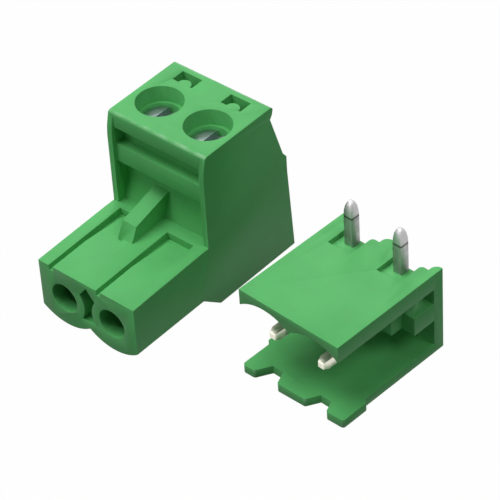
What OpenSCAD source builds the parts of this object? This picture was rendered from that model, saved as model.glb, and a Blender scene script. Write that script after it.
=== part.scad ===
// Two-pole pluggable terminal block: a screw plug and the board header that
// it pushes into. The plug stands on its base. The header lies upside down
// beside it, on its shroud, with its solder legs in the air.
// Millimetres. X runs across the poles, Y to the wire side, Z up. The origin
// is on the resting face, midway between the two clamp screws.

/* [Poles] */
// Distance between the two poles
pitch = 5.08; // [4.9:0.02:5.3]
// Height of the contact line above the resting face
contact_z = 3.42; // [3.3:0.02:3.5]

/* [Plug outline] */
// Overall height of the plug
plug_h = 15.34; // [15.2:0.02:16.4]
// Mating face in front of the screws
nose_reach = 12.6; // [12.2:0.1:13.4]
// Height of the nose where it meets the tower
nose_h = 6.42; // [6.4:0.02:6.7]
// Fall of the nose top towards the mating face
nose_fall = 0.25; // [0:0.05:0.4]
// Underside of the nose at each pole
nose_under = 0.7; // [0.6:0.05:0.9]
// Radius of the rounded underside of each pole
barrel_r = 4.2; // [3.8:0.1:5]
// Where the underside of the nose turns down to the foot, before the screws
foot_start = 4.69; // [4.5:0.05:5]
// Front edge of the foot, before the screws
foot_front = 2.71; // [2.5:0.05:3]
// Back edge of the foot, behind the screws
foot_back = 6.59; // [6.4:0.05:7]
// Back face at its waist
waist_back = 6.15; // [6:0.05:6.35]
// Height of the waist
waist_z = 8; // [7.5:0.1:8.5]
// Height of the knee, where the back starts to slope
knee_z = 9.5; // [9:0.1:10]
// Back face where the slope starts
slope_start_back = 5.75; // [5.6:0.05:5.9]
// Back face under the lip
slope_end_back = 4.45; // [4.3:0.05:4.6]
// Height over which the knee bends
knee_h = 0.5; // [0.3:0.1:0.8]
// Height of the lip round the top
lip_h = 1.1; // [0.8:0.1:1.4]
// Height of the bevel under the lip
lip_bevel_h = 0.35; // [0.2:0.05:0.5]
// Draft of the lip's back face
lip_draft = 0.12; // [0.05:0.01:0.2]
// Radius of the rounded edges of the top face
top_edge_r = 0.3; // [0.1:0.05:0.35]
// Back edge of the top face
top_back = 4.82; // [4.7:0.02:5]
// Front edge of the side cheeks
cheek_front = 3.66; // [3.5:0.02:3.9]
// Front edge of the top face
top_front = 3.36; // [3.3:0.02:3.46]
// Height over which the cheeks curve back to the top face
cheek_curve = 2.2; // [1:0.1:3]
// Lower part of that curve, as a share of its height
cheek_curve_share = 0.4; // [0.3:0.05:0.5]
// Setback of the cheeks' edge over the lower part of the curve
cheek_setback = 0.08; // [0.02:0.01:0.12]
// Thickness of the side cheeks
cheek_t = 0.5; // [0.4:0.05:0.6]

/* [Tower front] */
// Wall of the recess, before the screws
recess_back = 2.2; // [2.15:0.05:2.4]
// Foot of the recess wall, before the screws
recess_foot = 2.9; // [2.7:0.05:3.1]
// Height of the sloping foot of the recess wall
recess_foot_h = 2.3; // [1.8:0.1:2.8]
// Underside of the marker band
band_z = 10.5; // [10.2:0.05:10.8]
// Height of the marker band
band_h = 1.68; // [1.4:0.02:1.9]
// Front of the marker band, before the screws
band_front = 3.3; // [3.2:0.02:3.34]
// Height of the marker slot above the band
marker_h = 1.75; // [1.5:0.05:1.9]
// Plastic left between the marker slot and the screw funnels
marker_wall = 0.3; // [0.25:0.05:0.4]

/* [Nose details] */
// Radius of each contact hole
hole_r = 1.35; // [1.2:0.05:1.45]
// Outer radius of the ring round each contact hole
ring_r = 2.14; // [2.1:0.02:2.25]
// Thickness of the front wall of the nose
front_wall = 1.2; // [1:0.1:1.5]
// Radius of the contact cavity
cavity_r = 1.72; // [1.66:0.02:1.8]
// Half width of the pocket between the rings
pocket_half = 0.82; // [0.7:0.02:0.9]
// Floor of the pocket between the rings
pocket_floor = 2.2; // [2:0.05:2.4]
// Height of the pocket's sides
pocket_side_h = 2.5; // [2.2:0.05:2.7]
// Height of the pocket's pointed roof above its sides
pocket_roof_h = 1.05; // [0.7:0.05:1.2]
// Depth of the pocket between the rings
pocket_depth = 6; // [4:0.5:7]
// Width of the grooves in the nose top
groove_w = 0.45; // [0.35:0.05:0.55]
// Depth of the grooves in the nose top
groove_depth = 0.7; // [0.5:0.05:0.8]
// Middle of the long groove, left of its pole
groove_offset = 1.2; // [1.1:0.05:1.3]
// Ledge between the cross groove and the front of the cheeks
ledge_w = 0.45; // [0.4:0.05:0.6]
// Width of the sunk plate of each pole
plate_w = 2.35; // [2.2:0.05:2.5]
// Depth of the sunk plate at the tower
plate_dip = 0.5; // [0.4:0.05:0.6]
// Length over which the plate sinks
plate_run = 6.2; // [5:0.2:7]
// Middle of the latch rib, left of the middle of the plug
rib_offset = 0.94; // [0.8:0.02:1.1]
// Width of the latch rib
rib_w = 1.46; // [1.3:0.02:1.6]
// Height of the latch rib at the recess wall
rib_h_back = 2.32; // [2.1:0.02:2.6]
// Height of the latch rib at its front edge
rib_h_front = 1.27; // [1.1:0.02:1.4]
// Front edge of the rib's top, before the screws
rib_top_front = 6.2; // [6:0.1:6.5]
// Front of the rib's foot, before the screws
rib_foot_front = 6.9; // [6.7:0.1:7.2]

/* [Top openings] */
// Radius of the screw funnels
funnel_r = 2; // [1.95:0.01:2.1]
// Width of the test slots behind the funnels
test_w = 2.05; // [1.9:0.05:2.2]
// Length of the test slots
test_l = 1.3; // [1.2:0.05:1.35]
// Front edge of the test slots, behind the screws
test_front = 2.8; // [2.75:0.05:2.9]
// Depth of the test slots
test_depth = 3.4; // [3:0.1:3.6]
// Radius of the round bump in the front edge of each test slot
test_bump_r = 0.6; // [0.5:0.05:0.65]
// Middle of the bump and slot, beside the screw
test_offset = 0.1; // [0:0.05:0.2]

/* [Wire side] */
// Width and height of the wire entries at the back face
entry_out = 3.8; // [3.6:0.05:3.9]
// Width of the wire entries at the cages
entry_in_w = 2.7; // [2.6:0.05:3]
// Middle of the wire entries above the resting face
entry_z = 3.6; // [3.5:0.05:3.7]
// Depth at which the wire entries start to narrow
entry_mouth = 0.4; // [0.2:0.05:0.6]

/* [Clamp screws] */
// Depth of the screw heads under the top face
head_depth = 1.6; // [1.4:0.05:1.8]
// Radius of the screw heads
head_r = 1.65; // [1.5:0.05:1.75]
// Height of the screw heads
head_h = 1.44; // [1.3:0.02:1.6]
// Gap round and over the screw heads at the foot of the funnels
head_gap = 0.1; // [0.06:0.01:0.14]
// Chamfer round the screw heads and the screw ends
screw_chamfer = 0.2; // [0.1:0.05:0.3]
// Radius of the screw shanks, M2.5
shank_r = 1.25; // [1.2:0.01:1.25]
// Running clearance round the shanks
shank_gap = 0.05; // [0.03:0.01:0.08]
// Width of the screwdriver slots
driver_w = 0.8; // [0.6:0.05:1]
// Depth of the screwdriver slots
driver_depth = 0.7; // [0.5:0.05:0.9]
// Thickness of the shelf that the heads bear on
shelf_t = 1.6; // [1.4:0.05:1.8]

/* [Clamp cages] */
// Width of the cages
cage_w = 3.9; // [3.8:0.02:3.96]
// Length of the cages along the wire
cage_l = 3; // [2.8:0.05:3.1]
// Thickness of the cage sides
cage_side = 0.6; // [0.5:0.02:0.62]
// Thickness of the bar under the wire
cage_bar = 0.8; // [0.7:0.05:0.9]
// Thickness of the threaded bridge
cage_bridge = 1.5; // [1.3:0.05:1.6]
// Gap round a cage in its chamber
cage_gap = 0.1; // [0.08:0.01:0.12]
// Floor of the cage chambers
chamber_floor = 1.15; // [1:0.05:1.3]

/* [Socket contacts] */
// Width of the contact strips
strip_w = 2.4; // [2.2:0.02:2.46]
// Thickness of the spring blades
blade_t = 0.35; // [0.3:0.01:0.4]
// Opening between the blades at the root
blade_gap = 1.24; // [1.2:0.02:1.3]
// Pinch of each blade towards the pin
pinch = 0.1; // [0.05:0.01:0.12]
// Pinch line behind the tips of the blades
pinch_l = 1.2; // [1:0.1:1.5]
// Underside of the clamp tongue
tongue_z = 5.2; // [5.1:0.02:5.24]
// Thickness of the clamp tongue
tongue_t = 0.8; // [0.7:0.02:0.84]
// Gap between the tongue and what passes it
tongue_gap = 0.15; // [0.1:0.01:0.2]
// Gap between a contact and its cavity at its ends
contact_gap = 0.15; // [0.1:0.01:0.2]
// Setback of the blade tips behind the front wall
blade_setback = 1.2; // [0.2:0.1:1.6]

/* [Header] */
// Plastic beyond the outer poles at each end
header_end = 0.07; // [0.05:0.01:0.15]
// Depth of the header
header_d = 12; // [11.8:0.05:12.6]
// Height of the header
header_h = 8.09; // [8:0.01:8.6]
// Thickness of the board plate under each pole
board_t = 0.67; // [0.6:0.01:0.8]
// Thickness of the shroud plate
shroud_t = 0.8; // [0.75:0.01:1]
// Thickness of the back wall
back_t = 1.05; // [0.9:0.05:1.2]
// Reach of the shroud plate past the board plate
shroud_lead = 0.28; // [0.2:0.02:0.4]
// Extra reach of the shroud plate's left end over its right end
shroud_skew = 0.4; // [0:0.05:0.5]
// Sideways step of the shroud plate's front part
shroud_step = 0.36; // [0.2:0.02:0.4]
// Length of the stepped front part of the shroud plate
shroud_step_l = 2.7; // [2.4:0.1:3.2]
// Width of the shroud notches at the front
notch_w = 2.25; // [2:0.05:2.4]
// Width of the shroud notches at their floor
notch_floor_w = 1.1; // [0.9:0.05:1.3]
// Depth of the shroud notches
notch_depth = 1.2; // [1:0.05:1.4]
// Sideways offset of the notch floors
notch_skew = 0.1; // [0:0.02:0.2]
// Radius of the corners of the shroud plate
tab_r = 0.25; // [0.1:0.05:0.35]
// Depth of the arched mouth
arch_depth = 8.4; // [8:0.05:8.5]
// Front face of the bar that carries the pins
bar_front = 8.65; // [8.6:0.05:8.9]
// Height of the bar that carries the pins
bar_h = 1.7; // [1.6:0.02:1.9]
// Front of the collars round the contact legs
collar_front = 7.4; // [7.2:0.05:7.9]
// Width of the collars
collar_w = 2.6; // [2.4:0.05:2.8]
// Height of the collars
collar_h = 1.54; // [1.4:0.02:1.6]
// Width of the lugs between the solder leg channels
lug_w = 2.74; // [2.4:0.02:2.9]
// Setback of the lugs' shoulders from the back
lug_setback = 0.85; // [0.6:0.05:1.1]
// Radius of the corners of the lugs' shoulders
lug_corner_r = 0.35; // [0.2:0.05:0.5]
// Radius of the round noses of the lugs
lug_nose_r = 0.62; // [0.5:0.02:0.8]
// Front wall of the solder leg channels
channel_front = 9.35; // [9.3:0.01:9.4]
// Start of the relief round each solder leg
relief_front = 8.55; // [8.5:0.05:8.6]
// Depth of the relief round each solder leg
relief_depth = 0.45; // [0.3:0.05:0.5]

/* [Header pins] */
// Width and thickness of the square pins
pin_w = 0.9; // [0.8:0.01:1]
// Clearance round the pins in the bar
pin_gap = 0.02; // [0.01:0.01:0.05]
// Line of the contact legs above the board face
pin_z = 3.89; // [3.86:0.01:3.94]
// Tips of the contact legs behind the mouth
pin_tip = 0.75; // [0.5:0.05:1.4]
// Middle of the solder legs behind the mouth
solder_y = 10.1; // [10:0.01:10.2]
// Reach of the solder legs past the board face
solder_l = 3.8; // [3.5:0.1:5.5]
// Outer radius of the bend of the pins
bend_r = 0.5; // [0.3:0.05:0.7]
// Length of the rounded tips of the solder legs
point_l = 1.4; // [0.7:0.05:1.6]
// Width of the solder legs' tips as a share of the pin
point_share = 0.3; // [0.2:0.05:0.5]
// Length of the tapered tips of the contact legs
contact_point_l = 0.5; // [0.3:0.05:0.7]
// Width of the contact legs' tips as a share of the pin
tip_share = 0.65; // [0.5:0.05:0.8]

/* [Lie of the header] */
// Left front corner of the header beside the plug
header_x = 11.42; // [11:0.05:14]
// Mouth of the header before the screws
header_y = 7.28; // [5:0.05:9]
// Turn of the header on the table, degrees
header_turn = 3.4; // [0:0.1:8]

/* [Hidden] */
$fn = 96;

// Cutting tools run this far past the faces that they open.
over = 1;
// Flat shapes that join overlap by this much.
join = 0.01;

plastic = [0.22, 0.60, 0.28];
steel = [0.55, 0.58, 0.62];
zinc = [0.70, 0.71, 0.70];
tin_bronze = [0.78, 0.74, 0.62];

body_w = 2 * pitch;
barrel_rise = barrel_r - sqrt(barrel_r * barrel_r - pitch * pitch / 4);
nose_edge = nose_under + barrel_rise;
lip_z = plug_h - lip_h;
head_top = plug_h - head_depth;
seat_z = head_top - head_h;
chamber_top = seat_z - shelf_t;
band_top = band_z + band_h;
slot_top = band_top + marker_h;
chamber_w = cage_w + 2 * cage_gap;
chamber_half_l = cage_l / 2 + cage_gap;
cage_bottom = chamber_floor + cage_gap / 2;
tongue_top = tongue_z + tongue_t;
bridge_z = tongue_top + tongue_gap;
screw_tip = tongue_top + 2 * tongue_gap;
cross_groove_y = cheek_front + ledge_w;
root_y = foot_start - blade_t;
header_w = 2 * pitch + 2 * header_end;
board_full_t = board_t + barrel_rise;

// Poles of the plug and of the header, 0 on the left
function plug_pole(i) = (i - 0.5) * pitch;
function header_pole(i) = header_w / 2 + (i - 0.5) * pitch;

// Extrudes a side view, drawn as [y, z], across x from x0 to x1
module across(x0, x1)
    translate([x0, 0, 0]) rotate([90, 0, 90]) linear_extrude(x1 - x0) children();

// Extrudes a front view, drawn as [x, z], along y from y0 to y1
module along(y0, y1)
    translate([0, y1, 0]) rotate([90, 0, 0]) linear_extrude(y1 - y0) children();

// Rounded corner of an outline: points from angle a0 to a1 about c
function corner(c, r, a0, a1, n = 6) =
    [for (k = [0:n]) let (a = a0 + (a1 - a0) * k / n) c + r * [cos(a), sin(a)]];

// ---------------------------------------------------------------- plug

// Tower and foot of the plug, seen from the side
module tower_outline() {
    mid_curve_z = plug_h - cheek_curve * (1 - cheek_curve_share);
    edge_z = plug_h - top_edge_r;
    polygon(concat(
        [[-foot_front, 0], [foot_back, 0], [waist_back, waist_z], [waist_back, knee_z],
         [slope_start_back, knee_z + knee_h], [slope_end_back, lip_z],
         [top_back - lip_draft, lip_z + lip_bevel_h]],
        corner([top_back - top_edge_r, edge_z], top_edge_r, 0, 90),
        corner([-top_front + top_edge_r, edge_z], top_edge_r, 90, 150),
        [[-cheek_front + cheek_setback, mid_curve_z], [-cheek_front, plug_h - cheek_curve],
         [-cheek_front, nose_h], [-foot_start, nose_h], [-foot_start, nose_edge]]));
}

// Front view of the nose: two poles with rounded undersides
module nose_section() {
    for (i = [0, 1])
        translate([plug_pole(i), 0]) intersection() {
            translate([-pitch / 2, nose_under]) square([pitch, nose_h - nose_under]);
            translate([0, nose_under + barrel_r]) circle(barrel_r);
        }
}

// The nose falls a little towards the mating face
module nose() {
    slope_run = foot_start - foot_front;
    lobe_end = foot_start - slope_run * barrel_rise / nose_edge;
    difference() {
        along(-nose_reach, -lobe_end) nose_section();
        across(-body_w / 2 - over, body_w / 2 + over)
            polygon([[-nose_reach - over, nose_h - nose_fall], [-nose_reach, nose_h - nose_fall],
                     [-foot_start, nose_h], [-foot_start, nose_h + over],
                     [-nose_reach - over, nose_h + over]]);
    }
}

// Rib on the nose that latches in the header's shroud
module latch_rib() {
    x0 = -rib_offset - rib_w / 2;
    across(x0, x0 + rib_w)
        polygon([[-recess_back, nose_h - plate_dip - groove_depth / 2],
                 [-recess_back, nose_h + rib_h_back], [-rib_top_front, nose_h + rib_h_front],
                 [-rib_foot_front, nose_h - nose_fall / 2],
                 [-rib_foot_front, nose_h - plate_dip - groove_depth / 2]]);
}

// Everything cut from the front of the tower between the cheeks
module tower_front_cut() {
    half = body_w / 2 - cheek_t;
    slot_back = funnel_r + marker_wall;
    clear = -cheek_front - over;
    across(-half, half)
        polygon([[clear, nose_h], [-recess_foot, nose_h], [-recess_back, nose_h + recess_foot_h],
                 [-recess_back, band_z], [-band_front, band_z], [-band_front, band_top],
                 [-slot_back, band_top], [-slot_back, slot_top], [-top_front, slot_top],
                 [-top_front, plug_h + over], [clear, plug_h + over]]);
}

// Grooves and sunk plate in the nose top over one pole
module nose_top_cut() {
    groove_x = -groove_offset - groove_w / 2;
    plate_x = groove_x + groove_w;
    translate([groove_x, -nose_reach - over, nose_h - groove_depth])
        cube([groove_w, nose_reach + over - cross_groove_y, groove_depth + over]);
    translate([groove_x, -cross_groove_y - groove_w, nose_h - groove_depth])
        cube([groove_w + plate_w, groove_w, groove_depth + over]);
    across(plate_x, plate_x + plate_w)
        polygon([[-cross_groove_y - plate_run, nose_h], [-cross_groove_y - groove_w, nose_h - plate_dip],
                 [-cross_groove_y - groove_w / 2, nose_h - plate_dip],
                 [-cross_groove_y - groove_w / 2, nose_h + over],
                 [-cross_groove_y - plate_run, nose_h + over]]);
}

// Screw funnel with the seat of the head, shank bore and cage chamber of one pole
module clamp_cut() {
    translate([0, 0, seat_z]) cylinder(h = head_h + over, r = head_r + head_gap);
    translate([0, 0, head_top + head_gap]) cylinder(h = head_depth + over, r = funnel_r);
    translate([0, 0, chamber_top - over / 2]) cylinder(h = shelf_t + over, r = shank_r + shank_gap);
    translate([-chamber_w / 2, -chamber_half_l, chamber_floor])
        cube([chamber_w, 2 * chamber_half_l, chamber_top - chamber_floor]);
}

// Test slot behind one funnel, with a round bump in its front edge
module test_slot_cut() {
    translate([-test_offset, test_front, plug_h - test_depth])
        difference() {
            translate([-test_w / 2, 0, 0]) cube([test_w, test_l, test_depth + over]);
            translate([2 * test_offset, 0, -over]) cylinder(h = test_depth + 3 * over, r = test_bump_r);
        }
}

// Wire entry of one pole: a funnel that narrows to the cage
module wire_entry_cut() {
    in_h = tongue_z - cage_bottom - cage_bar;
    in_z = cage_bottom + cage_bar;
    y0 = chamber_half_l - over / 2;
    y1 = foot_back + over;
    mouth_y = waist_back - entry_mouth;
    intersection() {
        across(-entry_out, entry_out)
            polygon([[y0, in_z], [chamber_half_l, in_z], [mouth_y, entry_z - entry_out / 2],
                     [y1, entry_z - entry_out / 2], [y1, entry_z + entry_out / 2],
                     [mouth_y, entry_z + entry_out / 2], [chamber_half_l, in_z + in_h], [y0, in_z + in_h]]);
        linear_extrude(2 * entry_z + entry_out)
            polygon([[-entry_in_w / 2, y0], [-entry_in_w / 2, chamber_half_l], [-entry_out / 2, mouth_y],
                     [-entry_out / 2, y1], [entry_out / 2, y1], [entry_out / 2, mouth_y],
                     [entry_in_w / 2, chamber_half_l], [entry_in_w / 2, y0]]);
    }
}

// Contact hole, contact cavity and the passage up to the cage chamber
module contact_cut() {
    roof = tongue_top + contact_gap;
    translate([0, -foot_start, contact_z]) rotate([90, 0, 0]) {
        cylinder(h = nose_reach - foot_start - front_wall, r = cavity_r);
        cylinder(h = nose_reach - foot_start + over, r = hole_r);
    }
    across(-strip_w / 2 - contact_gap, strip_w / 2 + contact_gap)
        polygon([[-foot_start - over / 2, contact_z - blade_gap / 2 - blade_t - contact_gap],
                 [-chamber_half_l + over / 2, contact_z - blade_gap / 2 - blade_t - contact_gap],
                 [-chamber_half_l + over / 2, roof], [-recess_foot, roof],
                 [-foot_start - over / 2, contact_z + blade_gap / 2 + blade_t + contact_gap]]);
}

// Pocket in the mating face between the two rings
module ring_pocket_cut() {
    eaves = pocket_floor + pocket_side_h;
    difference() {
        along(-nose_reach - over, -nose_reach + pocket_depth)
            polygon([[-pocket_half, pocket_floor], [pocket_half, pocket_floor], [pocket_half, eaves],
                     [0, eaves + pocket_roof_h], [-pocket_half, eaves]]);
        for (i = [0, 1])
            translate([plug_pole(i), -nose_reach - 2 * over, contact_z]) rotate([-90, 0, 0])
                cylinder(h = pocket_depth + 3 * over, r = ring_r);
    }
}

module plug_housing() {
    color(plastic) difference() {
        union() {
            difference() {
                union() {
                    across(-body_w / 2, body_w / 2) tower_outline();
                    nose();
                }
                tower_front_cut();
                for (i = [0, 1]) translate([plug_pole(i), 0, 0]) nose_top_cut();
            }
            latch_rib();
        }
        for (i = [0, 1])
            translate([plug_pole(i), 0, 0]) {
                clamp_cut();
                test_slot_cut();
                wire_entry_cut();
                contact_cut();
            }
        ring_pocket_cut();
    }
}

// Slotted screw that stays at its height and draws the cage up as it turns
module clamp_screw(i) {
    color(steel) translate([plug_pole(i), 0, 0]) difference() {
        rotate_extrude()
            polygon([[0, screw_tip], [shank_r - screw_chamfer, screw_tip],
                     [shank_r, screw_tip + screw_chamfer], [shank_r, seat_z], [head_r, seat_z],
                     [head_r, head_top - screw_chamfer], [head_r - screw_chamfer, head_top],
                     [0, head_top]]);
        translate([-driver_w / 2, -head_r - over, head_top - driver_depth])
            cube([driver_w, 2 * (head_r + over), driver_depth + over]);
    }
}

// Closed loop with a threaded bridge; its lower bar presses the wire up. The
// bore runs on down between the sides, so that the loop can rise round the screw
module clamp_cage(i) {
    window_w = cage_w - 2 * cage_side;
    top = bridge_z + cage_bridge;
    color(zinc) translate([plug_pole(i), 0, 0]) difference() {
        translate([-cage_w / 2, -cage_l / 2, cage_bottom]) cube([cage_w, cage_l, top - cage_bottom]);
        translate([-window_w / 2, -cage_l / 2 - over, cage_bottom + cage_bar])
            cube([window_w, cage_l + 2 * over, bridge_z - cage_bottom - cage_bar]);
        translate([0, 0, cage_bottom + cage_bar]) cylinder(h = top - cage_bottom, r = shank_r + shank_gap);
    }
}

// Folded strip: two spring blades in the nose, a root that joins them, and a
// tongue that steps up from the root and reaches back through the cage
module socket_contact(i) {
    tip_y = nose_reach - front_wall - blade_setback;
    pinch_y = tip_y - pinch_l;
    inner = blade_gap / 2;
    outer = inner + blade_t;
    low = tongue_z - contact_z;
    high = tongue_top - contact_z;
    end_y = chamber_half_l - cage_gap / 2;
    color(tin_bronze) translate([plug_pole(i), 0, contact_z]) across(-strip_w / 2, strip_w / 2)
        polygon([[-tip_y, -outer], [-pinch_y, pinch - outer], [-root_y, -outer], [blade_t - root_y, -outer],
                 [blade_t - root_y, inner], [-recess_foot + blade_t, low], [end_y, low],
                 [end_y, high], [-recess_foot, high], [-root_y, outer],
                 [-pinch_y, outer - pinch], [-tip_y, outer], [-tip_y, inner], [-pinch_y, inner - pinch],
                 [-root_y, inner], [-root_y, -inner], [-pinch_y, pinch - inner], [-tip_y, -inner]]);
}

// -------------------------------------------------------------- header

// The header is drawn as it sits on a board: board face at z = 0, mouth at
// y = 0 facing +Y, left end at x = 0. This lays it upside down on the table.
module lie() {
    translate([header_x, -header_y, 0]) rotate([0, 0, -header_turn])
        translate([0, 0, header_h]) rotate([180, 0, 0]) children();
}

// Shroud plate from above, with a notch over each pole and rounded corners
module shroud_plan() {
    offset(r = tab_r, $fn = 24) offset(delta = -tab_r) difference() {
        union() {
            translate([0, -header_d]) square([header_w, header_d - shroud_step_l]);
            translate([shroud_step, 0])
                polygon([[0, -shroud_step_l - join], [header_w, -shroud_step_l - join],
                         [header_w, shroud_lead - shroud_skew / 2], [0, shroud_lead + shroud_skew / 2]]);
        }
        for (i = [0, 1])
            translate([header_pole(i) + shroud_step / 2, shroud_lead])
                polygon([[-notch_w / 2, over], [-notch_w / 2, 0],
                         [notch_skew - notch_floor_w / 2, -notch_depth],
                         [notch_skew + notch_floor_w / 2, -notch_depth],
                         [notch_w / 2, 0], [notch_w / 2, over]]);
    }
}

// Board plate with an arched trough for each pole of the plug
module board_plate() {
    difference() {
        translate([0, -header_d, 0]) cube([header_w, header_d, board_full_t]);
        for (i = [0, 1])
            translate([header_pole(i), over, board_t + barrel_r]) rotate([90, 0, 0])
                cylinder(h = arch_depth + over, r = barrel_r);
    }
}

// Lug between two channels from below: rounded shoulders and a round nose
module lug_plan() {
    half = lug_w / 2;
    shoulder_y = lug_setback + lug_corner_r - header_d;
    nose_y = lug_nose_r - header_d;
    translate([-half, shoulder_y]) square([lug_w, header_d]);
    for (s = [-1, 1]) translate([s * (half - lug_corner_r), shoulder_y]) circle(lug_corner_r);
    translate([lug_corner_r - half, lug_setback - header_d]) square([lug_w - 2 * lug_corner_r, header_d]);
    translate([0, nose_y]) circle(lug_nose_r);
    translate([-lug_nose_r, nose_y]) square([2 * lug_nose_r, header_d]);
}

// Channel for one solder leg from below: open to the back between two lugs
module channel_plan() {
    difference() {
        translate([-pitch / 2, -header_d - over]) square([pitch, header_d + over - channel_front]);
        for (s = [-1, 1]) translate([s * pitch / 2, 0]) lug_plan();
    }
}

module header_housing() {
    half = (pitch - lug_w) / 2;
    hole_w = pin_w + 2 * pin_gap;
    color(plastic) lie() difference() {
        union() {
            board_plate();
            translate([0, 0, header_h - shroud_t]) linear_extrude(shroud_t) shroud_plan();
            translate([0, -header_d, 0]) cube([header_w, back_t, header_h]);
            translate([0, -header_d, pin_z - bar_h / 2]) cube([header_w, header_d - bar_front, bar_h]);
            for (i = [0, 1])
                translate([header_pole(i) - collar_w / 2, -header_d, pin_z - collar_h / 2])
                    cube([collar_w, header_d - collar_front, collar_h]);
        }
        for (i = [0, 1])
            translate([header_pole(i), 0, 0]) {
                translate([0, 0, -over])
                    linear_extrude(over + pin_z + hole_w / 2) channel_plan();
                translate([-half, -channel_front - over, -over])
                    cube([2 * half, channel_front + over - relief_front, over + relief_depth]);
                translate([-hole_w / 2, -channel_front - over, pin_z - hole_w / 2])
                    cube([hole_w, channel_front - collar_front + 2 * over, hole_w]);
            }
    }
}

// Rounded taper of a leg, from its full width to its tip, at steps k of 4:
// [distance from the middle, distance from the tip]
function taper(k, half) =
    let (tip = point_share * half, a = 90 * k / 4) [tip + (half - tip) * cos(a), point_l * (1 - sin(a))];

// Solder leg's rounded end about [0, 0], from its left shoulder to its right
function solder_tip(half) =
    concat([for (k = [0:4]) [-taper(k, half)[0], taper(k, half)[1]]], [for (k = [4:-1:0]) taper(k, half)]);

// Square pin bent to an L: the contact leg points to the mouth and the
// solder leg goes through the board; both ends are tapered on four sides
module header_pin(i) {
    half = pin_w / 2;
    blunt = tip_share * half;
    back = solder_y + half;
    top = pin_z + half;
    taper_y = pin_tip + contact_point_l;
    color(tin_bronze) lie() translate([header_pole(i), 0, 0]) intersection() {
        across(-half, half)
            polygon(concat(
                [[-pin_tip, pin_z - blunt], [-pin_tip, pin_z + blunt], [-taper_y, top]],
                corner([-back + bend_r, top - bend_r], bend_r, 90, 180),
                [for (p = solder_tip(half)) p - [solder_y, solder_l]],
                [[-solder_y + half, pin_z - half], [-taper_y, pin_z - half]]));
        union() {
            translate([0, 0, pin_z - half]) linear_extrude(pin_w)
                polygon([[-half, -back], [half, -back], [half, -taper_y],
                         [blunt, -pin_tip], [-blunt, -pin_tip], [-half, -taper_y]]);
            along(-back, -solder_y + half)
                polygon(concat([[-half, top]], [for (p = solder_tip(half)) p - [0, solder_l]],
                               [[half, top]]));
        }
    }
}

plug_housing();
clamp_screw(0);  // clamp_screw_1
clamp_screw(1);  // clamp_screw_2
clamp_cage(0);  // clamp_cage_1
clamp_cage(1);  // clamp_cage_2
socket_contact(0);  // socket_contact_1
socket_contact(1);  // socket_contact_2
header_housing();
header_pin(0);  // header_pin_1
header_pin(1);  // header_pin_2
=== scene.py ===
"""Green pluggable terminal block with two poles. The screw plug stands on its base, and the
right-angle board header lies upside down beside it. All sizes are metres, in the frame of the
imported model."""
import math

import bmesh
import bpy
from mathutils import Matrix, Vector


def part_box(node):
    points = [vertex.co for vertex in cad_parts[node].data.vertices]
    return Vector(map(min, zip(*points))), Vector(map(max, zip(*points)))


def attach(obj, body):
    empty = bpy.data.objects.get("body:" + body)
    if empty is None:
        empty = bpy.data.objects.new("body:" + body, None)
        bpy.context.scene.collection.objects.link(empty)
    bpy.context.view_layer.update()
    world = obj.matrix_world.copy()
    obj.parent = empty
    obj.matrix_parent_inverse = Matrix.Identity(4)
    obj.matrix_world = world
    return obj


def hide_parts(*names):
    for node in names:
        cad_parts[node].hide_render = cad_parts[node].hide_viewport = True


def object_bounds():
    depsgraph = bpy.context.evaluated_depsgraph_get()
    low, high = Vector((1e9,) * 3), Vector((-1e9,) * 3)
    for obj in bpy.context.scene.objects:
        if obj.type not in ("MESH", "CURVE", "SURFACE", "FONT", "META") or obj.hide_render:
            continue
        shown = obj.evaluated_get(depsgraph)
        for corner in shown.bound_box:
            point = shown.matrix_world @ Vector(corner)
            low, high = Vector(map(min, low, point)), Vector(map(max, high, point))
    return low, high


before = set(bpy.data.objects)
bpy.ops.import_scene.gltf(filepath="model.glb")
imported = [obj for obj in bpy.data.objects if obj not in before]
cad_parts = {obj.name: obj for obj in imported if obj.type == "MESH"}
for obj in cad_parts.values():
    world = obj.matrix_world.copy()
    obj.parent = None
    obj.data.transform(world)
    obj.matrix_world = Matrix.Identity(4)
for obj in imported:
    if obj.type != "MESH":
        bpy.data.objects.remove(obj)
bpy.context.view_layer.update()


# ---- Camera -----------------------------------------------------------------------------------
# A long lens, level with a seated person's eyes over a table top, turned a few degrees on its
# own axis. It looks down past the plug's right front corner.
MM = 0.001
camera_data = bpy.data.cameras.new("camera")
camera_data.sensor_width = 36
camera_data.lens = 204.82
camera_data.clip_start = 0.01
camera = bpy.data.objects.new("camera", camera_data)
bpy.context.scene.collection.objects.link(camera)
bpy.context.scene.camera = camera

azimuth, elevation, roll = (math.radians(a) for a in (42.874, 40.538, -3.802))
back = Vector((math.sin(azimuth) * math.cos(elevation), -math.cos(azimuth) * math.cos(elevation),
               math.sin(elevation)))
level_right = (-back).cross(Vector((0, 0, 1))).normalized()
level_up = level_right.cross(-back)
right = math.cos(roll) * level_right + math.sin(roll) * level_up
up = math.cos(roll) * level_up - math.sin(roll) * level_right
place = Matrix((right, up, back)).transposed().to_4x4()
place.translation = Vector((123.894, -126.849, 152.340)) * MM
camera.matrix_world = place


# ---- Table, backdrop and lamps ----------------------------------------------------------------
# A sheet of white card under four soft boxes: a large one overhead, and weaker ones behind, in
# front and on the right. Card and room look white, but throw little light on the parts.
def surface_of(name):
    """A new material, its nodes, its links and its Principled shader"""
    material = bpy.data.materials.new(name)
    material.use_nodes = True
    nodes = material.node_tree.nodes
    return material, nodes, material.node_tree.links, nodes["Principled BSDF"]


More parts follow.
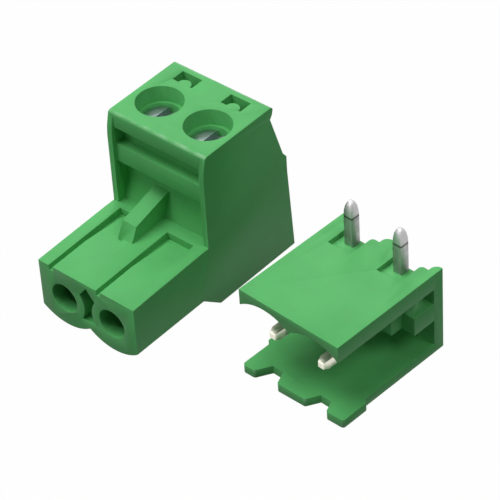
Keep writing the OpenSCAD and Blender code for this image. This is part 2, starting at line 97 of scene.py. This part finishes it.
def seen_directly(nodes, links):
    """1 where the eye, a reflection or glass meets the surface, 0 for its light on other things"""
    path = nodes.new("ShaderNodeLightPath").outputs
    seen = path["Is Camera Ray"]
    for ray in ("Is Glossy Ray", "Is Transmission Ray"):
        either = nodes.new("ShaderNodeMath")
        either.operation = "MAXIMUM"
        links.new(seen, either.inputs[0])
        links.new(path[ray], either.inputs[1])
        seen = either.outputs[0]
    return seen


card, nodes, links, shader = surface_of("white_card")
shader.inputs["Base Color"].default_value = (0.12, 0.12, 0.12, 1)
shader.inputs["Roughness"].default_value = 0.9
shader.inputs["Specular IOR Level"].default_value = 0
glow = nodes.new("ShaderNodeEmission")
glow.inputs["Color"].default_value = (1, 1, 1, 1)
share = nodes.new("ShaderNodeMath")
share.operation = "MULTIPLY"
share.inputs[1].default_value = 0.99
links.new(seen_directly(nodes, links), share.inputs[0])
blend = nodes.new("ShaderNodeMixShader")
links.new(share.outputs[0], blend.inputs["Fac"])
links.new(shader.outputs[0], blend.inputs[1])
links.new(glow.outputs[0], blend.inputs[2])
links.new(blend.outputs[0], nodes["Material Output"].inputs["Surface"])

table_half = 2.5
table_gap = 0.02 * MM
sheet = bmesh.new()
sheet.faces.new([sheet.verts.new((x * table_half, y * table_half, 0))
                 for x, y in ((-1, -1), (1, -1), (1, 1), (-1, 1))])
table_mesh = bpy.data.meshes.new("table")
sheet.to_mesh(table_mesh)
sheet.free()
table = bpy.data.objects.new("table", table_mesh)
table.location.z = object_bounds()[0][2] - table_gap
bpy.context.scene.collection.objects.link(table)
table.data.materials.append(card)

world = bpy.data.worlds.new("room")
bpy.context.scene.world = world
world.use_nodes = True
nodes, links = world.node_tree.nodes, world.node_tree.links
room = nodes["Background"]
room.inputs["Color"].default_value = (0.93, 1.0, 0.98, 1)
room.inputs["Strength"].default_value = 0.07
white = nodes.new("ShaderNodeBackground")
white.inputs["Color"].default_value = (1, 1, 1, 1)
white.inputs["Strength"].default_value = 1.0
blend = nodes.new("ShaderNodeMixShader")
links.new(seen_directly(nodes, links), blend.inputs["Fac"])
links.new(room.outputs[0], blend.inputs[1])
links.new(white.outputs[0], blend.inputs[2])
links.new(blend.outputs[0], nodes["World Output"].inputs["Surface"])


def soft_box(name, place, size, power):
    """A square-cornered area lamp that points at the middle of the two parts"""
    data = bpy.data.lights.new(name, "AREA")
    data.shape = "RECTANGLE"
    data.size, data.size_y = size
    data.energy = power
    lamp = bpy.data.objects.new(name, data)
    lamp.location = place
    lamp.rotation_euler = (middle - Vector(place)).to_track_quat("-Z", "Y").to_euler()
    bpy.context.scene.collection.objects.link(lamp)


middle = Vector((8, -2, 6)) * MM
soft_box("overhead_box", place=(-0.12, -0.08, 0.5), size=(0.35, 0.35), power=1.9)
soft_box("back_box", place=(-0.36, 0.39, 0.46), size=(0.4, 0.3), power=1.0)
soft_box("front_box", place=(-0.2, -0.42, 0.3), size=(0.25, 0.2), power=0.52)
soft_box("right_box", place=(0.36, 0.02, 0.46), size=(0.25, 0.2), power=0.65)

bpy.context.scene.view_settings.view_transform = "Standard"


# ---- Plug housing -----------------------------------------------------------------------------
# The body of the screw plug, one moulding of green polyamide that holds the screws, cages and
# contacts. Its edges are slightly rounded, as they leave the mould.
weld_reach = 0.0002 * MM
flat_angle = math.radians(0.6)
narrow_share = 0.45


def fine_copy(node, name):
    """The node's mesh as a new piece, with its flat faces whole again"""
    mesh = bmesh.new()
    mesh.from_mesh(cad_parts[node].data)
    bmesh.ops.remove_doubles(mesh, verts=mesh.verts, dist=weld_reach)
    bmesh.ops.dissolve_limit(mesh, angle_limit=flat_angle, verts=mesh.verts, edges=mesh.edges)
    bmesh.ops.recalc_face_normals(mesh, faces=mesh.faces)
    return piece_from(mesh, name)


def piece_from(mesh, name):
    """A new smooth-shaded piece from a bmesh"""
    for face in mesh.faces:
        face.smooth = True
        face.material_index = 0
    data = bpy.data.meshes.new(name)
    mesh.to_mesh(data)
    mesh.free()
    piece = bpy.data.objects.new(name, data)
    bpy.context.scene.collection.objects.link(piece)
    return piece


def keep_modifiers(piece):
    """Gives the piece the mesh that its modifiers make, and removes them"""
    bpy.context.view_layer.update()
    shaped = bpy.data.meshes.new_from_object(
        piece.evaluated_get(bpy.context.evaluated_depsgraph_get()))
    shaped.name = piece.name
    piece.modifiers.clear()
    piece.data = shaped
    return shaped


def round_edges(piece, width, least_angle=30):
    """Rounds the piece's edges to a radius of about width, and marks the narrow faces of the
    rounding, where the plastic's shader paints a lighter colour on them as a highlight"""
    bevel = piece.modifiers.new("edges", "BEVEL")
    bevel.width = width
    bevel.segments = 2
    bevel.limit_method = "ANGLE"
    bevel.angle_limit = math.radians(least_angle)
    bevel.miter_outer = "MITER_ARC"
    bevel.harden_normals = True
    shaped = keep_modifiers(piece)

    # Marks the corners of the narrow rounding faces, which get the painted edge highlight
    highlight_corners = shaped.attributes.new("painted_edge_highlight", "FLOAT", "CORNER")
    corners = shaped.vertices
    for face in shaped.polygons:
        outline = sum((corners[a].co - corners[b].co).length for a, b in face.edge_keys)
        if face.area < narrow_share * width * outline:
            for corner in face.loop_indices:
                highlight_corners.data[corner].value = 1
    return piece


def dress(piece, material, body, slot, *replaced):
    """Gives a piece its material, its CAD body and the nodes that it stands for; the slot argument is not
    used
    """
    piece.data.materials.clear()
    piece.data.materials.append(material)
    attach(piece, body)
    if replaced:
        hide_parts(*replaced)


def new_group(name, inputs, outputs):
    """A shader node group with named sockets, and its input and output nodes"""
    group = bpy.data.node_groups.new(name, "ShaderNodeTree")
    for socket, kind in inputs.items():
        group.interface.new_socket(socket, in_out="INPUT", socket_type="NodeSocket" + kind)
    for socket, kind in outputs.items():
        group.interface.new_socket(socket, in_out="OUTPUT", socket_type="NodeSocket" + kind)
    return group, group.nodes.new("NodeGroupInput").outputs, group.nodes.new("NodeGroupOutput").inputs


def in_millimetres(nodes, links):
    """Object coordinates in millimetres"""
    scale = nodes.new("ShaderNodeVectorMath")
    scale.operation = "SCALE"
    scale.inputs["Scale"].default_value = 1 / MM
    links.new(nodes.new("ShaderNodeTexCoord").outputs["Object"], scale.inputs[0])
    return scale.outputs[0]


def noise_of(nodes, links, vector, scale, detail, roughness=0.5):
    """Soft random pattern from 0 to 1, scale spots to the unit"""
    noise = nodes.new("ShaderNodeTexNoise")
    noise.inputs["Scale"].default_value = scale
    noise.inputs["Detail"].default_value = detail
    noise.inputs["Roughness"].default_value = roughness
    links.new(vector, noise.inputs["Vector"])
    return noise.outputs["Fac"]


def span(nodes, links, value, low, high, to_low, to_high):
    """value mapped from low..high to to_low..to_high, held at the ends"""
    node = nodes.new("ShaderNodeMapRange")
    links.new(value, node.inputs["Value"])
    node.inputs["From Min"].default_value = low
    node.inputs["From Max"].default_value = high
    node.inputs["To Min"].default_value = to_low
    node.inputs["To Max"].default_value = to_high
    return node.outputs["Result"]


def maths(nodes, links, operation, *terms):
    """terms joined by a maths operation; each is a socket or a number"""
    node = nodes.new("ShaderNodeMath")
    node.operation = operation
    for socket, term in zip(node.inputs, terms):
        if isinstance(term, (int, float)):
            socket.default_value = term
        else:
            links.new(term, socket)
    return node.outputs[0]


def mixed(nodes, links, mask, under, over):
    """The colour under, turned to the colour over where mask is 1; over is a socket or a value"""
    mix = nodes.new("ShaderNodeMix")
    mix.data_type = "RGBA"
    links.new(mask, mix.inputs["Factor"])
    links.new(under, mix.inputs["A"])
    if isinstance(over, tuple):
        mix.inputs["B"].default_value = over
    else:
        links.new(over, mix.inputs["B"])
    return mix.outputs["Result"]


def use_group(group, nodes, links, shader, strength, reach, **values):
    """Places a group in a material and joins it to the shader's colour, roughness and normal"""
    used = nodes.new("ShaderNodeGroup")
    used.node_tree = group
    for socket, value in values.items():
        used.inputs[socket.replace("_", " ")].default_value = value
    bump = nodes.new("ShaderNodeBump")
    bump.inputs["Strength"].default_value = strength
    bump.inputs["Distance"].default_value = reach
    links.new(used.outputs["Height"], bump.inputs["Height"])
    links.new(used.outputs["Colour"], shader.inputs["Base Color"])
    links.new(used.outputs["Roughness"], shader.inputs["Roughness"])
    links.new(bump.outputs["Normal"], shader.inputs["Normal"])
    return used


# Moulded plastic: slow flow marks that change its depth of colour and its gloss, the fine grain
# of a spark-eroded mould, and a lighter colour painted on the edge roundings as a highlight
skin, given, gives = new_group(
    "moulded_skin", {"Colour": "Color", "Rubbed Colour": "Color", "Flow Marks": "Float",
                     "Gloss Change": "Float", "Roughness": "Float"},
    {"Colour": "Color", "Roughness": "Float", "Height": "Float"})
nodes, links = skin.nodes, skin.links
place_mm = in_millimetres(nodes, links)
flow = span(nodes, links, noise_of(nodes, links, place_mm, 0.28, 3), 0.3, 0.7, -1, 1)
grain = noise_of(nodes, links, place_mm, 9, 3, 0.6)
depth = maths(nodes, links, "MULTIPLY_ADD", flow, given["Flow Marks"], 1.0)
tone = nodes.new("ShaderNodeVectorMath")
tone.operation = "SCALE"
links.new(given["Colour"], tone.inputs[0])
links.new(depth, tone.inputs["Scale"])
edge = nodes.new("ShaderNodeAttribute")
edge.attribute_name = "painted_edge_highlight"
# Painted highlight: in patches on the marked edge faces, the colour turns to a lighter green
painted_highlight = maths(nodes, links, "MULTIPLY", edge.outputs["Fac"],
            span(nodes, links, noise_of(nodes, links, place_mm, 0.9, 4), 0.38, 0.58, 0.1, 0.8))
links.new(mixed(nodes, links, painted_highlight, tone.outputs[0], given["Rubbed Colour"]), gives["Colour"])
links.new(maths(nodes, links, "MULTIPLY_ADD", flow, given["Gloss Change"], given["Roughness"]),
          gives["Roughness"])
links.new(grain, gives["Height"])

green, nodes, links, shader = surface_of("green_polyamide")
shader.inputs["IOR"].default_value = 1.25
shader.inputs["Specular IOR Level"].default_value = 0.35
# The lighter second colour is a highlight painted on the rounded edges
use_group(skin, nodes, links, shader, strength=0.25, reach=0.02 * MM,
          Colour=(0.105, 0.46, 0.14, 1), Rubbed_Colour=(0.26, 0.56, 0.29, 1),
          Flow_Marks=0.06, Gloss_Change=0.05, Roughness=0.45)

plug = round_edges(fine_copy("plug_housing", "plug_body"), 0.1 * MM)
dress(plug, green, "housings", "green_plastic", "plug_housing")


# ---- Clamp screws -----------------------------------------------------------------------------
# Two slotted M2.5 screws of zinc-plated steel, turned and rolled. The heads lie at the foot of
# the funnels, and the threads draw the cages up.
head_r, head_h, head_chamfer = 1.65 * MM, 1.44 * MM, 0.2 * MM
slot_w, slot_depth = 0.8 * MM, 0.7 * MM
thread_r, root_r, thread_pitch = 1.25 * MM, 1.0 * MM, 0.45 * MM
shelf_t = 1.6 * MM
turned_corner, crown_h = 0.03 * MM, 0.04 * MM
thread_steps, crest = 40, (0.42, 0.58)
thread_stop, point_h, point_taper, neck_taper = 0.3 * MM, 0.25 * MM, 0.2 * MM, 0.1 * MM

# Turned metal: rings about the piece's own axis, with a dull film and small stains
turned, given, gives = new_group(
    "turned_plating", {"Colour": "Color", "Stain": "Color", "Roughness": "Float"},
    {"Colour": "Color", "Roughness": "Float", "Height": "Float"})
nodes, links = turned.nodes, turned.links
place_mm = in_millimetres(nodes, links)
rings = nodes.new("ShaderNodeTexWave")
rings.wave_type = "RINGS"
rings.rings_direction = "Z"
rings.inputs["Scale"].default_value = 2.2
rings.inputs["Distortion"].default_value = 0.6
links.new(place_mm, rings.inputs["Vector"])
stains = span(nodes, links, noise_of(nodes, links, place_mm, 1.6, 5, 0.65), 0.42, 0.66, 0, 0.75)
links.new(mixed(nodes, links, stains, given["Colour"], given["Stain"]), gives["Colour"])
links.new(maths(nodes, links, "MULTIPLY_ADD", stains, 0.2, given["Roughness"]), gives["Roughness"])
links.new(rings.outputs["Fac"], gives["Height"])

zinc, nodes, links, shader = surface_of("zinc_plated_steel")
shader.inputs["Metallic"].default_value = 1
use_group(turned, nodes, links, shader, strength=0.35, reach=0.01 * MM, Colour=(0.50, 0.55, 0.58, 1),
          Stain=(0.24, 0.28, 0.30, 1), Roughness=0.3)


def revolve(mesh, profile, steps=64):
    """Closed solid from [radius, height] points that start and end on the axis"""
    circles = []
    for radius, height in profile:
        if radius == 0:
            circles.append([mesh.verts.new((0, 0, height))])
        else:
            circles.append([mesh.verts.new((radius * math.cos(math.tau * k / steps),
                                            radius * math.sin(math.tau * k / steps), height))
                            for k in range(steps)])
    for lower, upper in zip(circles, circles[1:]):
        for k in range(steps):
            n = (k + 1) % steps
            if len(lower) == 1:
                mesh.faces.new((lower[0], upper[n], upper[k]))
            elif len(upper) == 1:
                mesh.faces.new((lower[k], lower[n], upper[0]))
            else:
                mesh.faces.new((lower[k], lower[n], upper[n], upper[k]))


def cut_away(piece, cutter):
    """Takes the cutter's volume from the piece and removes the cutter"""
    cut = piece.modifiers.new("cut", "BOOLEAN")
    cut.object = cutter
    cut.solver = "EXACT"
    keep_modifiers(piece)
    bpy.data.objects.remove(cutter)


def block(name, low, high):
    """A box from its lowest to its highest corner"""
    mesh = bmesh.new()
    bmesh.ops.create_cube(mesh, size=1)
    for vertex in mesh.verts:
        vertex.co = Vector([low[k] if vertex.co[k] < 0 else high[k] for k in range(3)])
    return piece_from(mesh, name)


for number in (1, 2):
    node = f"clamp_screw_{number}"
    low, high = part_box(node)
    axis = Vector(((low.x + high.x) / 2, (low.y + high.y) / 2, 0))
    seat_z = high.z - head_h
    neck_z = seat_z - shelf_t
    rim_z = high.z - crown_h
    mesh = bmesh.new()
    revolve(mesh, [(0, seat_z), (head_r - turned_corner, seat_z), (head_r, seat_z + turned_corner),
                   (head_r, rim_z - head_chamfer),
                   (head_r - 0.3 * head_chamfer, rim_z - head_chamfer / 2),
                   (head_r - head_chamfer, rim_z), (0.6 * head_r, high.z - 0.3 * crown_h), (0, high.z)])
    head = piece_from(mesh, f"screw_head_{number}")
    cut_away(head, block("slot", (-slot_w / 2, -2 * head_r, high.z - slot_depth),
                         (slot_w / 2, 2 * head_r, high.z + MM)))
    round_edges(head, 0.035 * MM, 40)
    head.location = axis
    dress(head, zinc, f"screw_{number}", "screw_steel", node)

    # Plain neck, then a right-hand thread down to a tapered end
    turns = int((neck_z - low.z - thread_stop) / thread_pitch)
    mesh = bmesh.new()
    rows = []
    for k in range(turns * thread_steps + 1):
        turn = k / thread_steps
        angle = -math.tau * turn
        height = neck_z - thread_pitch * turn
        ease = min(1, turn, turns - turn)
        row = []
        for part, share in ((0, 0), (crest[0], 1), (crest[1], 1), (1, 0)):
            radius = root_r + (thread_r - root_r) * share * ease
            row.append(mesh.verts.new((radius * math.cos(angle), radius * math.sin(angle),
                                       height - thread_pitch * part)))
        rows.append(row)
    for one, other in zip(rows, rows[1:]):
        for k in range(3):
            mesh.faces.new((one[k], other[k], other[k + 1], one[k + 1]))
    overlap_z = seat_z + 0.02 * MM
    revolve(mesh, [(0, overlap_z), (thread_r, overlap_z), (thread_r, neck_z),
                   (root_r, neck_z - neck_taper), (root_r, low.z + point_h),
                   (root_r - point_taper, low.z), (0, low.z)])
    bmesh.ops.recalc_face_normals(mesh, faces=mesh.faces)
    shank = piece_from(mesh, f"screw_thread_{number}")
    shank.location = axis
    dress(shank, zinc, f"screw_{number}", "screw_steel")


# ---- Clamp cages ------------------------------------------------------------------------------
# Two closed loops of nickel-plated steel, one on each screw. The bar under the wire has grooves
# that grip the strands.
cage_bar = 0.8 * MM
groove_pitch, groove_half = 0.75 * MM, 0.2 * MM
groove_depth, groove_clear = 0.15 * MM, 0.05 * MM

# Stamped metal: fine draw lines along one direction, given as a scale for each axis
drawn, given, gives = new_group(
    "drawn_plating", {"Colour": "Color", "Stain": "Color", "Roughness": "Float", "Line Scale": "Vector"},
    {"Colour": "Color", "Roughness": "Float", "Height": "Float"})
nodes, links = drawn.nodes, drawn.links
place_mm = in_millimetres(nodes, links)
stretch = nodes.new("ShaderNodeVectorMath")
stretch.operation = "MULTIPLY"
links.new(place_mm, stretch.inputs[0])
links.new(given["Line Scale"], stretch.inputs[1])
lines = noise_of(nodes, links, stretch.outputs[0], 1, 4, 0.6)
stains = span(nodes, links, lines, 0.4, 0.7, 0, 0.8)
links.new(mixed(nodes, links, stains, given["Colour"], given["Stain"]), gives["Colour"])
links.new(maths(nodes, links, "MULTIPLY_ADD", stains, 0.15, given["Roughness"]), gives["Roughness"])
links.new(lines, gives["Height"])

nickel, nodes, links, shader = surface_of("nickel_plated_steel")
shader.inputs["Metallic"].default_value = 1
use_group(drawn, nodes, links, shader, strength=0.3, reach=0.01 * MM, Colour=(0.62, 0.62, 0.60, 1),
          Stain=(0.42, 0.42, 0.40, 1), Roughness=0.33, Line_Scale=(6, 0.8, 6))

for number in (1, 2):
    node = f"clamp_cage_{number}"
    low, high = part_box(node)
    cage = fine_copy(node, f"rising_cage_{number}")
    top_z = low.z + cage_bar
    for groove in (-1, 0, 1):
        y = (low.y + high.y) / 2 + groove * groove_pitch
        mesh = bmesh.new()
        ends = [[mesh.verts.new((x, y - groove_half, top_z + groove_clear)),
                 mesh.verts.new((x, y, top_z - groove_depth)),
                 mesh.verts.new((x, y + groove_half, top_z + groove_clear))]
                for x in (low.x - MM, high.x + MM)]
        mesh.faces.new(ends[0])
        mesh.faces.new(ends[1])
        for k in range(3):
            n = (k + 1) % 3
            mesh.faces.new((ends[0][k], ends[0][n], ends[1][n], ends[1][k]))
        bmesh.ops.recalc_face_normals(mesh, faces=mesh.faces)
        cut_away(cage, piece_from(mesh, "groove"))
    round_edges(cage, 0.07 * MM, 40)
    dress(cage, nickel, f"cage_{number}", "cage_metal", node)


# ---- Socket contacts --------------------------------------------------------------------------
# Two folded strips of tinned bronze inside the plug. Their spring blades take the header's
# legs, and their tongues reach back through the cages under the screws.
tin, nodes, links, shader = surface_of("tinned_bronze")
shader.inputs["Metallic"].default_value = 1
use_group(drawn, nodes, links, shader, strength=0.3, reach=0.01 * MM, Colour=(0.62, 0.58, 0.50, 1),
          Stain=(0.45, 0.41, 0.34, 1), Roughness=0.36, Line_Scale=(7, 0.7, 7))
for number in (1, 2):
    node = f"socket_contact_{number}"
    strip = round_edges(fine_copy(node, f"contact_strip_{number}"), 0.04 * MM, 40)
    dress(strip, tin, "housings", "contact_metal", node)


# ---- Header housing ---------------------------------------------------------------------------
# The open box that takes the plug's nose, one moulding of the same green polyamide. It lies on
# its shroud plate, with the board side up. A web closes the channel round each solder leg.
web_half, web_front, web_back = 1.15 * MM, -0.78 * MM, 0.62 * MM
web_t, web_drop = 1.2 * MM, 0.45 * MM

header = round_edges(fine_copy("header_housing", "header_body"), 0.09 * MM)
dress(header, green, "housings", "green_plastic", "header_housing")

header_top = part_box("header_housing")[1].z
legs = []
for number in (1, 2):
    above = [v.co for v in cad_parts[f"header_pin_{number}"].data.vertices
             if v.co.z > header_top + MM]
    legs.append(sum(above, Vector()) / len(above))
header_turn = math.atan2(legs[1].y - legs[0].y, legs[1].x - legs[0].x)
for number, leg in enumerate(legs, 1):
    web = block(f"channel_web_{number}", (-web_half, web_front, header_top - web_t),
                (web_half, web_back, header_top - web_drop))
    round_edges(web, 0.06 * MM)
    web.rotation_euler.z = header_turn
    web.location = (leg.x, leg.y, 0)
    dress(web, green, "housings", "green_plastic")


# ---- Header pins ------------------------------------------------------------------------------
# Two square tinned pins, cut and bent from drawn wire and pressed into the header. A thin
# line of painted shade marks where each rounded solder tip starts.
point_l = 1.4 * MM
tip_fade_mm, mouth_reach_mm, mouth_fade_mm = 0.25, 1.2, 0.5
shoulder_shade_half_mm, shoulder_shade_fade_mm = 0.02, 0.12
tip_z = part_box("header_pin_1")[1].z
mouth_y = min(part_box(f"header_pin_{number}")[0].y for number in (1, 2))

pin_metal, nodes, links, shader = surface_of("tinned_pin_wire")
shader.inputs["Metallic"].default_value = 1
used = use_group(drawn, nodes, links, shader, strength=0.5, reach=0.015 * MM, Colour=(0.44, 0.44, 0.44, 1),
                 Stain=(0.24, 0.24, 0.24, 1), Roughness=0.42, Line_Scale=(9, 1.2, 0.9))
apart = nodes.new("ShaderNodeSeparateXYZ")
links.new(in_millimetres(nodes, links), apart.inputs[0])
shoulder_mm = (tip_z - point_l) / MM
height, depth = apart.outputs["Z"], apart.outputs["Y"]
tip_mask = span(nodes, links, height, shoulder_mm, shoulder_mm + tip_fade_mm, 0, 0.85)
# Painted shade: a thin band round the pin, where its tip starts, darkened almost to black
shoulder_shade_rise = span(nodes, links, height, shoulder_mm - shoulder_shade_half_mm - shoulder_shade_fade_mm,
                shoulder_mm - shoulder_shade_half_mm, 0, 1)
shoulder_shade_fall = span(nodes, links, height, shoulder_mm + shoulder_shade_half_mm,
                 shoulder_mm + shoulder_shade_fade_mm, 1, 0)
shoulder_shade_mask = maths(nodes, links, "MULTIPLY", shoulder_shade_rise, shoulder_shade_fall)
mouth_mm = mouth_y / MM + mouth_reach_mm
mouth_mask = span(nodes, links, depth, mouth_mm, mouth_mm + mouth_fade_mm, 0.9, 0)
colour = mixed(nodes, links, tip_mask, used.outputs["Colour"], (0.5, 0.5, 0.5, 1))
colour = mixed(nodes, links, mouth_mask, colour, (0.85, 0.83, 0.70, 1))
# The painted shade line lies over the other colours
colour = mixed(nodes, links, shoulder_shade_mask, colour, (0.05, 0.05, 0.05, 1))
links.new(colour, shader.inputs["Base Color"])

for number in (1, 2):
    node = f"header_pin_{number}"
    pin = round_edges(fine_copy(node, f"bent_pin_{number}"), 0.07 * MM, 40)
    dress(pin, pin_metal, "housings", "pin_metal", node)
